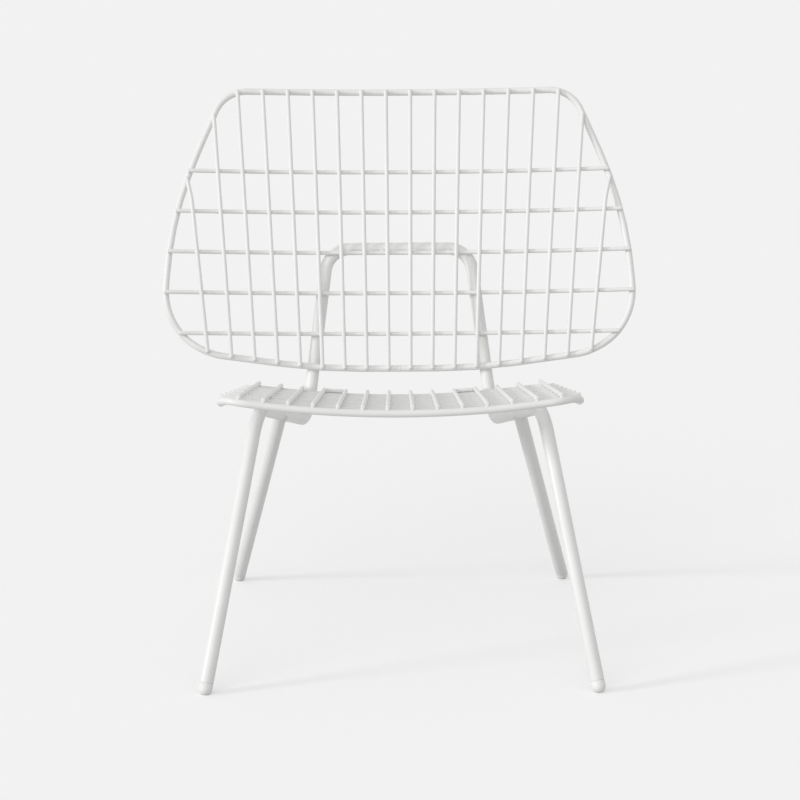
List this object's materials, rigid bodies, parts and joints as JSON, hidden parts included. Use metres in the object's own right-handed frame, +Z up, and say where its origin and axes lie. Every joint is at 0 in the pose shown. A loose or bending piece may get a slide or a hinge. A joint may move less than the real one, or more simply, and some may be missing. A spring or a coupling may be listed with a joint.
{
  "type": "wire mesh lounge chair",
  "caption": "Low lounge chair of white powder-coated steel with a fanned wire mesh back and a dished wire mesh seat on a bent tube frame with splayed legs.",
  "frame": {"origin": "on the floor, under the middle of the whole chair's box", "axes": "+Z up, the sitter faces -Y, +X on the right seen from the front"},
  "size_m": [0.683, 0.6146, 0.7338],
  "materials": {
    "powder_coat": "satin white powder coat with a fine orange peel",
    "glide_plastic": "moulded white plastic, slightly rough on the sole",
    "screw_steel": "plain plated steel"
  },
  "bodies": {
    "root": {"back_cross_wire_1": "powder_coat", "back_cross_wire_2": "powder_coat", "back_cross_wire_3": "powder_coat", "back_cross_wire_4": "powder_coat", "back_cross_wire_5": "powder_coat", "back_rim": "powder_coat", "back_upright_01": "powder_coat", "back_upright_02": "powder_coat", "back_upright_03": "powder_coat", "back_upright_04": "powder_coat", "back_upright_05": "powder_coat", "back_upright_06": "powder_coat", "back_upright_07": "powder_coat", "back_upright_08": "powder_coat", "back_upright_09": "powder_coat", "back_upright_10": "powder_coat", "back_upright_11": "powder_coat", "back_upright_12": "powder_coat", "back_upright_13": "powder_coat", "back_upright_14": "powder_coat", "back_upright_15": "powder_coat", "back_upright_16": "powder_coat", "back_upright_17": "powder_coat", "back_upright_18": "powder_coat", "frame_tube": "powder_coat", "front_glide_left": "glide_plastic", "front_glide_right": "glide_plastic", "front_lug_left": "powder_coat", "front_lug_right": "powder_coat", "front_lug_screw_left": "screw_steel", "front_lug_screw_right": "screw_steel", "rear_glide_left": "glide_plastic", "rear_glide_right": "glide_plastic", "rear_leg_left": "powder_coat", "rear_leg_right": "powder_coat", "rear_lug_left": "powder_coat", "rear_lug_right": "powder_coat", "seat_cross_wire_1": "powder_coat", "seat_cross_wire_2": "powder_coat", "seat_cross_wire_3": "powder_coat", "seat_cross_wire_4": "powder_coat", "seat_cross_wire_5": "powder_coat", "seat_cross_wire_6": "powder_coat", "seat_cross_wire_7": "powder_coat", "seat_rib_01": "powder_coat", "seat_rib_02": "powder_coat", "seat_rib_03": "powder_coat", "seat_rib_04": "powder_coat", "seat_rib_05": "powder_coat", "seat_rib_06": "powder_coat", "seat_rib_07": "powder_coat", "seat_rib_08": "powder_coat", "seat_rib_09": "powder_coat", "seat_rib_10": "powder_coat", "seat_rib_11": "powder_coat", "seat_rib_12": "powder_coat", "seat_rib_13": "powder_coat", "seat_rib_14": "powder_coat", "seat_rim": "powder_coat"}
  },
  "joints": []
}
